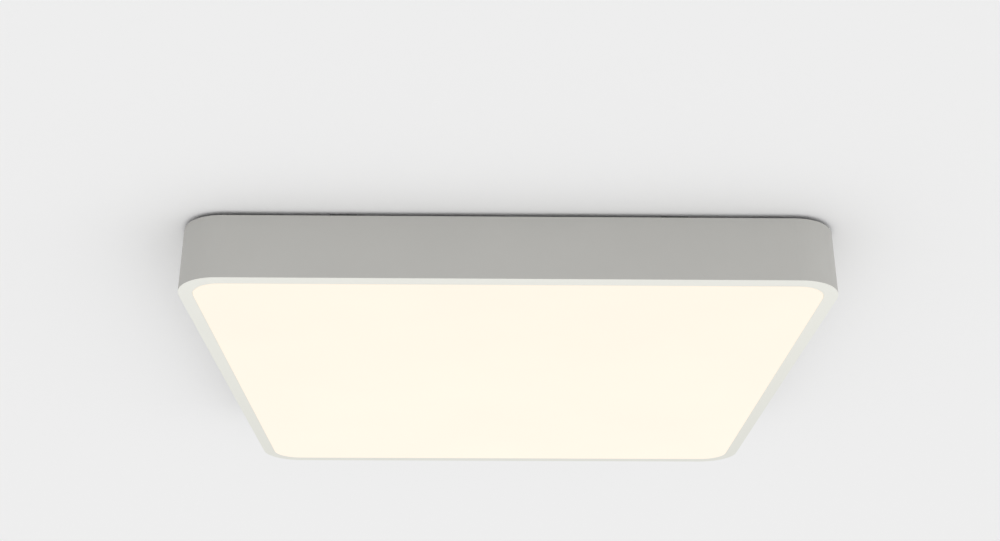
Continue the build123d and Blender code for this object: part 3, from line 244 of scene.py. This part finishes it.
def zinc(name, colour=ZINC):
    """Zinc-coated sheet steel: small spangles and dull streaks."""
    t = Tree(name, 0.5, metallic=ZINC_METALLIC)
    spangle = t.cells(0.006)
    grey = t.add("RGBToBW")
    t.join(spangle.outputs["Color"], grey, "Color")
    crystals = t.ramp(grey.outputs["Val"], [(0.0, shade(colour, 0.86)), (1.0, shade(colour, 1.12))])
    streaks = t.noise(0.012, 4, place=t.stretched((1, 0.12, 1)))
    t.colour(t.mix(t.spread(streaks, 0.1, 0.5), crystals, shade(colour, 0.95)))
    t.rough(streaks, 0.42, 0.58)
    t.bump(t.noise(0.0008, 2), 0.000006)
    return t


def tray_steel(name):
    """Zinc-coated sheet with dark grey painted on its outer edge as painted shade, so that the ceiling gap
    reads dark.
    """
    t = zinc(name)
    place = t.axes("Object")
    reach = t.math("MAXIMUM", t.math("ABSOLUTE", place["X"]), t.math("ABSOLUTE", place["Y"]))
    upright = t.math("LESS_THAN", t.math("ABSOLUTE", t.axes("Normal")["Z"]), 0.6)
    rim = t.math("MULTIPLY", upright, t.math("GREATER_THAN", reach, TRAY_EDGE - TRAY_CORNER_CUT))
    tabs = t.math("GREATER_THAN", reach, TRAY_EDGE)
    # Painted shade mask: the rim's upright faces and the tabs go dark grey and lose their metal look.
    black = t.math("MAXIMUM", rim, tabs)
    t.colour(t.mix(black, t.paint, TRAY_EDGE_PAINTED_SHADE))
    t.links.new(t.remap(black, 0, 1, ZINC_METALLIC, 0), t.bsdf.inputs["Metallic"])
    return t


def plated(name, colour, roughness=0.3):
    """Plated hardware: bright, with faint wear and turning marks."""
    t = Tree(name, roughness, metallic=1.0)
    wear = t.noise(0.0015, 4)
    t.colour(t.ramp(wear, [(0.3, shade(colour, 0.8)), (0.7, shade(colour, 1.1))]))
    t.rough(t.noise(0.0008, 3), roughness - 0.08, roughness + 0.14)
    t.bump(t.noise(0.0003, 2), 0.000006)
    return t


def spring(name):
    """Tempered strip: brushed along its length, with a blue-brown heat tint."""
    t = Tree(name, 0.35, metallic=1.0)
    grain = t.noise(0.0006, 3, place=t.stretched((0.08, 0.08, 1)))
    tint = t.noise(0.008, 2)
    tone = t.ramp(tint, [(0.35, (0.29, 0.3, 0.33, 1)), (0.65, (0.38, 0.36, 0.34, 1))])
    t.colour(t.mix(t.spread(grain, 0.0, 0.35), tone, (0.5, 0.5, 0.52, 1)))
    t.rough(grain, 0.28, 0.45)
    t.bump(grain, 0.000006)
    return t


def felt(name):
    """Black felt: matted fibres."""
    t = Tree(name, 0.95, specular=0.2)
    fibres = t.noise(0.0005, 6, 0.7, place=t.stretched((1, 0.4, 1)))
    t.colour(t.ramp(fibres, [(0.3, (0.02, 0.02, 0.021, 1)), (0.75, (0.09, 0.09, 0.092, 1))]))
    t.bsdf.inputs["Sheen Weight"].default_value = 0.4
    t.bump(fibres, 0.00015)
    return t


def foam(name):
    """Closed-cell foam: small open pores on its cut edge."""
    t = Tree(name, 0.85, specular=0.3)
    pores = t.cells(0.0007).outputs["Distance"]
    t.colour(t.ramp(pores, [(0.05, (0.42, 0.42, 0.41, 1)), (0.5, (0.62, 0.62, 0.6, 1))]))
    t.bump(pores, 0.0001)
    return t


def rubber(name):
    """Matt rubber with a dusty bloom."""
    t = Tree(name, 0.75, specular=0.35)
    bloom = t.noise(0.004, 5)
    t.colour(t.ramp(bloom, [(0.35, (0.012, 0.012, 0.013, 1)), (0.7, (0.045, 0.045, 0.046, 1))]))
    t.rough(bloom, 0.65, 0.85)
    t.bump(t.noise(0.0004, 2), 0.00001)
    return t


def nylon(name, colour=(0.72, 0.72, 0.68, 1)):
    """Natural nylon: slightly translucent, with a waxy surface."""
    t = Tree(name, 0.4)
    t.colour(t.ramp(t.noise(0.005, 3), [(0.3, shade(colour, 0.95)), (0.7, shade(colour, 1.04))]))
    t.bsdf.inputs["Subsurface Weight"].default_value = 0.15
    t.bsdf.inputs["Subsurface Scale"].default_value = 0.001
    t.rough(t.noise(0.002, 2), 0.34, 0.46)
    t.bump(t.noise(0.0006, 2), 0.000008)
    return t


def insulation(name, colour, stripe=None):
    """PVC wire insulation, with a second stripe colour on an earth wire."""
    t = Tree(name, 0.38)
    base = t.ramp(t.noise(0.004, 2), [(0.3, shade(colour, 0.92)), (0.7, shade(colour, 1.06))])
    if stripe:
        wave = t.add("TexWave", Scale=1 / 0.011, Distortion=0.0)
        wave.bands_direction = "DIAGONAL"
        t.join(t.place, wave, "Vector")
        edge = t.ramp(wave.outputs["Fac"], [(0.62, (0, 0, 0, 1)), (0.66, (1, 1, 1, 1))])
        base = t.mix(edge, base, stripe)
    t.colour(base)
    t.rough(t.noise(0.003, 2), 0.32, 0.44)
    t.bump(t.noise(0.0008, 2), 0.000008)
    return t


def circuit_board(name, mask, copper):
    """Solder-masked board: raised tracks show as a slightly lighter pattern."""
    t = Tree(name, 0.35)
    bricks = t.add("TexBrick", Scale=1 / 0.012)
    bricks.inputs["Mortar Size"].default_value = 0.06
    bricks.inputs["Color1"].default_value = mask
    bricks.inputs["Color2"].default_value = shade(mask, 0.97)
    bricks.inputs["Mortar"].default_value = copper
    t.join(t.place, bricks, "Vector")
    t.colour(t.mix(t.spread(t.noise(0.01, 2), 0.0, 0.25), bricks.outputs["Color"], mask))
    t.rough(t.noise(0.004, 2), 0.28, 0.42)
    t.bump(bricks.outputs["Fac"], 0.00003)
    return t


def phosphor(name):
    """Lit LED: a glowing phosphor field with finer grains."""
    t = Tree(name, 0.5)
    grains = t.noise(0.0004, 3)
    t.colour(t.ramp(grains, [(0.3, (0.72, 0.6, 0.2, 1)), (0.7, (0.85, 0.74, 0.32, 1))]))
    glow = t.ramp(grains, [(0.3, (1.0, 0.86, 0.62, 1)), (0.7, (1.0, 0.93, 0.74, 1))])
    t.links.new(glow, t.bsdf.inputs["Emission Color"])
    t.bsdf.inputs["Emission Strength"].default_value = 1.2
    return t


def lens(name):
    """Moulded lens over a lit LED: clear, with light caught in it."""
    t = Tree(name, 0.2)
    swirl = t.noise(0.004, 2)
    t.colour(t.ramp(swirl, [(0.3, (0.93, 0.95, 0.96, 1)), (0.7, (0.99, 0.99, 0.99, 1))]))
    t.bsdf.inputs["Transmission Weight"].default_value = 0.6
    t.bsdf.inputs["IOR"].default_value = 1.49
    caught = t.ramp(swirl, [(0.3, (1.0, 0.87, 0.68, 1)), (0.7, (1.0, 0.93, 0.8, 1))])
    t.links.new(caught, t.bsdf.inputs["Emission Color"])
    t.bsdf.inputs["Emission Strength"].default_value = 0.4
    t.rough(swirl, 0.15, 0.25)
    return t


def winding(name):
    """Taped transformer winding over its ferrite core."""
    t = Tree(name, 0.45)
    wave = t.add("TexWave", Scale=1 / 0.004, Distortion=0.3)
    t.join(t.place, wave, "Vector")
    t.colour(t.ramp(wave.outputs["Fac"], [(0.1, (0.5, 0.36, 0.05, 1)), (0.6, (0.68, 0.52, 0.1, 1))]))
    t.rough(t.noise(0.003, 2), 0.35, 0.55)
    t.bump(wave.outputs["Fac"], 0.0001)
    return t


def reflector(name):
    """Matt white reflector paint."""
    t = Tree(name, 0.7)
    t.colour(t.ramp(t.noise(0.03, 3), [(0.3, (0.84, 0.84, 0.83, 1)), (0.7, (0.88, 0.88, 0.87, 1))]))
    t.rough(t.noise(0.004, 2), 0.62, 0.78)
    t.bump(t.noise(0.0007, 2), 0.00001)
    return t


def sleeve(name):
    """Shrink-sleeved capacitor."""
    t = Tree(name, 0.25)
    t.colour(t.ramp(t.noise(0.006, 2), [(0.3, (0.012, 0.014, 0.03, 1)), (0.7, (0.03, 0.034, 0.06, 1))]))
    t.rough(t.noise(0.002, 2), 0.18, 0.34)
    t.bump(t.noise(0.002, 2), 0.00002)
    return t


BAND = srgb(180, 179, 175)
BEZEL = srgb(234, 234, 227)
PLASTIC = srgb(232, 232, 226)
finish = {
    "band_paint": band_coat("band_paint", BAND),
    "bezel_white": bezel_plastic("bezel_white", BEZEL),
    "opal": opal("opal"),
    "foam": foam("foam"),
    "zinc_steel": zinc("zinc_steel"),
    "spring_steel": spring("spring_steel"),
    "felt": felt("felt"),
    "pan_white": reflector("pan_white"),
    "rubber_black": rubber("rubber_black"),
    "nylon_white": nylon("nylon_white"),
    "terminal_grey": moulded("terminal_grey", srgb(205, 206, 202)),
    "button_orange": moulded("button_orange", srgb(224, 110, 30), 0.42),
    "brass": plated("brass", (0.72, 0.52, 0.2, 1), 0.28),
    "driver_white": moulded("driver_white", PLASTIC, 0.5),
    "board_green": circuit_board("board_green", (0.012, 0.09, 0.03, 1), (0.03, 0.16, 0.05, 1)),
    "transformer_tape": winding("transformer_tape"),
    "capacitor_black": sleeve("capacitor_black"),
    "wire_brown": insulation("wire_brown", (0.11, 0.04, 0.018, 1)),
    "wire_blue": insulation("wire_blue", (0.02, 0.09, 0.42, 1)),
    "wire_green": insulation("wire_green", (0.06, 0.3, 0.05, 1), stripe=(0.75, 0.62, 0.04, 1)),
    "wire_red": insulation("wire_red", (0.45, 0.02, 0.018, 1)),
    "wire_black": insulation("wire_black", (0.015, 0.015, 0.016, 1)),
    "wire_white": insulation("wire_white", (0.7, 0.7, 0.68, 1)),
    "board_white": circuit_board("board_white", (0.8, 0.8, 0.78, 1), (0.7, 0.71, 0.7, 1)),
    "led_phosphor": phosphor("led_phosphor"),
    "lens_clear": lens("lens_clear"),
}
tray_zinc = tray_steel("tray_zinc")
bright_zinc = plated("bright_zinc", (0.66, 0.67, 0.69, 1))
HARDWARE = (
    "bracket_rivets", "bracket_screws", "clip_rivets", "clamp_screws", "terminal_screws",
    "earth_stud", "earth_washer", "earth_nut", "driver_screws", "standoffs", "pan_screws",
    "strip_screws",
)

for part in frame["record"]["subparts"]:
    obj = nodes[part["node"]]
    obj.data.materials.clear()
    material = finish[part["material_slot"]]
    if part["node"] in HARDWARE:
        material = bright_zinc
    if part["node"] == "mounting_tray":
        material = tray_zinc
    obj.data.materials.append(material.mat)


# --- stage: the ceiling that the light hangs from -------------------------------------------------
CEILING_PAINT = (0.87, 0.87, 0.87, 1)
CEILING_HALF = 12.0
CEILING_LIFT = 0.0002


def ceiling():
    """Pale matt ceiling. Seen from above it isn't there, so that the light's back can be seen."""
    mesh = bpy.data.meshes.new("ceiling")
    half, z = CEILING_HALF, CEILING_LIFT
    corners = [(-half, -half, z), (-half, half, z), (half, half, z), (half, -half, z)]
    mesh.from_pydata(corners, [], [(0, 1, 2, 3)])
    obj = bpy.data.objects.new("ceiling", mesh)
    scene.collection.objects.link(obj)
    mat = bpy.data.materials.new("ceiling_paint")
    mat.use_nodes = True
    tree = mat.node_tree
    tree.nodes.clear()
    new, link = tree.nodes.new, tree.links.new
    out = new("ShaderNodeOutputMaterial")
    paint = new("ShaderNodeBsdfDiffuse")
    paint.inputs["Color"].default_value = CEILING_PAINT
    clear = new("ShaderNodeBsdfTransparent")
    face = new("ShaderNodeNewGeometry")
    path = new("ShaderNodeLightPath")
    from_above = new("ShaderNodeMath")
    from_above.operation = "MAXIMUM"
    from_above.use_clamp = True
    link(face.outputs["Backfacing"], from_above.inputs[0])
    link(path.outputs["Transparent Depth"], from_above.inputs[1])
    mix = new("ShaderNodeMixShader")
    link(from_above.outputs[0], mix.inputs[0])
    link(paint.outputs[0], mix.inputs[1])
    link(clear.outputs[0], mix.inputs[2])
    link(mix.outputs[0], out.inputs["Surface"])
    mesh.materials.append(mat)


ceiling()


# --- light ----------------------------------------------------------------------------------------
WORLD_LEVEL = 0.78
BACKDROP = 0.85


def world():
    """Even soft light from all round; the camera, mirrors and lenses see a pale backdrop."""
    w = bpy.data.worlds.new("studio")
    scene.world = w
    w.use_nodes = True
    tree = w.node_tree
    tree.nodes.clear()
    new, link = tree.nodes.new, tree.links.new

    def background(level, strength):
        node = new("ShaderNodeBackground")
        node.inputs["Color"].default_value = (level, level, level, 1)
        node.inputs["Strength"].default_value = strength
        return node.outputs[0]

    path = new("ShaderNodeLightPath")
    seen = path.outputs["Is Camera Ray"]
    for ray in ("Is Glossy Ray", "Is Transmission Ray"):
        either = new("ShaderNodeMath")
        either.operation = "MAXIMUM"
        link(seen, either.inputs[0])
        link(path.outputs[ray], either.inputs[1])
        seen = either.outputs[0]
    mix = new("ShaderNodeMixShader")
    link(seen, mix.inputs[0])
    link(background(1, WORLD_LEVEL), mix.inputs[1])
    link(background(BACKDROP, 1), mix.inputs[2])
    out = new("ShaderNodeOutputWorld")
    link(mix.outputs[0], out.inputs["Surface"])


def sun(name, towards, strength, softness):
    """Distant lamp that shines along a direction; softness is its angle in degrees."""
    data = bpy.data.lights.new(name, "SUN")
    data.energy = strength
    data.angle = math.radians(softness)
    obj = bpy.data.objects.new(name, data)
    obj.rotation_mode = "QUATERNION"
    obj.rotation_quaternion = Vector(towards).to_track_quat("-Z", "Y")
    scene.collection.objects.link(obj)


world()
sun("key", (-0.87, 0.35, 0.35), 0.45, 70)
sun("front", (0, 0.85, 0.45), 0.32, 80)
sun("back", (0, -0.85, 0.45), 0.1, 80)
sun("floor_bounce", (0, 0, 1), 0.28, 120)
sun("top_fill", (0.3, 0.5, -0.8), 0.5, 60)


# --- camera at the photograph's view --------------------------------------------------------------
CAMERA_LENS = 47.207
CAMERA_PLACE = (-0.02325, -1.36260, -0.52035)
CAMERA_YAW = 0.01373
CAMERA_PITCH = 0.41145


def camera():
    data = bpy.data.cameras.new("camera")
    data.sensor_width = 36.0
    data.lens = CAMERA_LENS
    data.clip_start = 0.01
    data.clip_end = 100
    level = math.cos(CAMERA_PITCH)
    forward = Vector((math.sin(CAMERA_YAW) * level, math.cos(CAMERA_YAW) * level, math.sin(CAMERA_PITCH)))
    right = Vector((math.cos(CAMERA_YAW), -math.sin(CAMERA_YAW), 0))
    up = right.cross(forward)
    turn = Matrix((right, up, -forward)).transposed().to_4x4()
    obj = bpy.data.objects.new("camera", data)
    obj.matrix_world = Matrix.Translation(CAMERA_PLACE) @ turn
    scene.collection.objects.link(obj)
    scene.camera = obj


camera()
scene.view_settings.view_transform = "Standard"
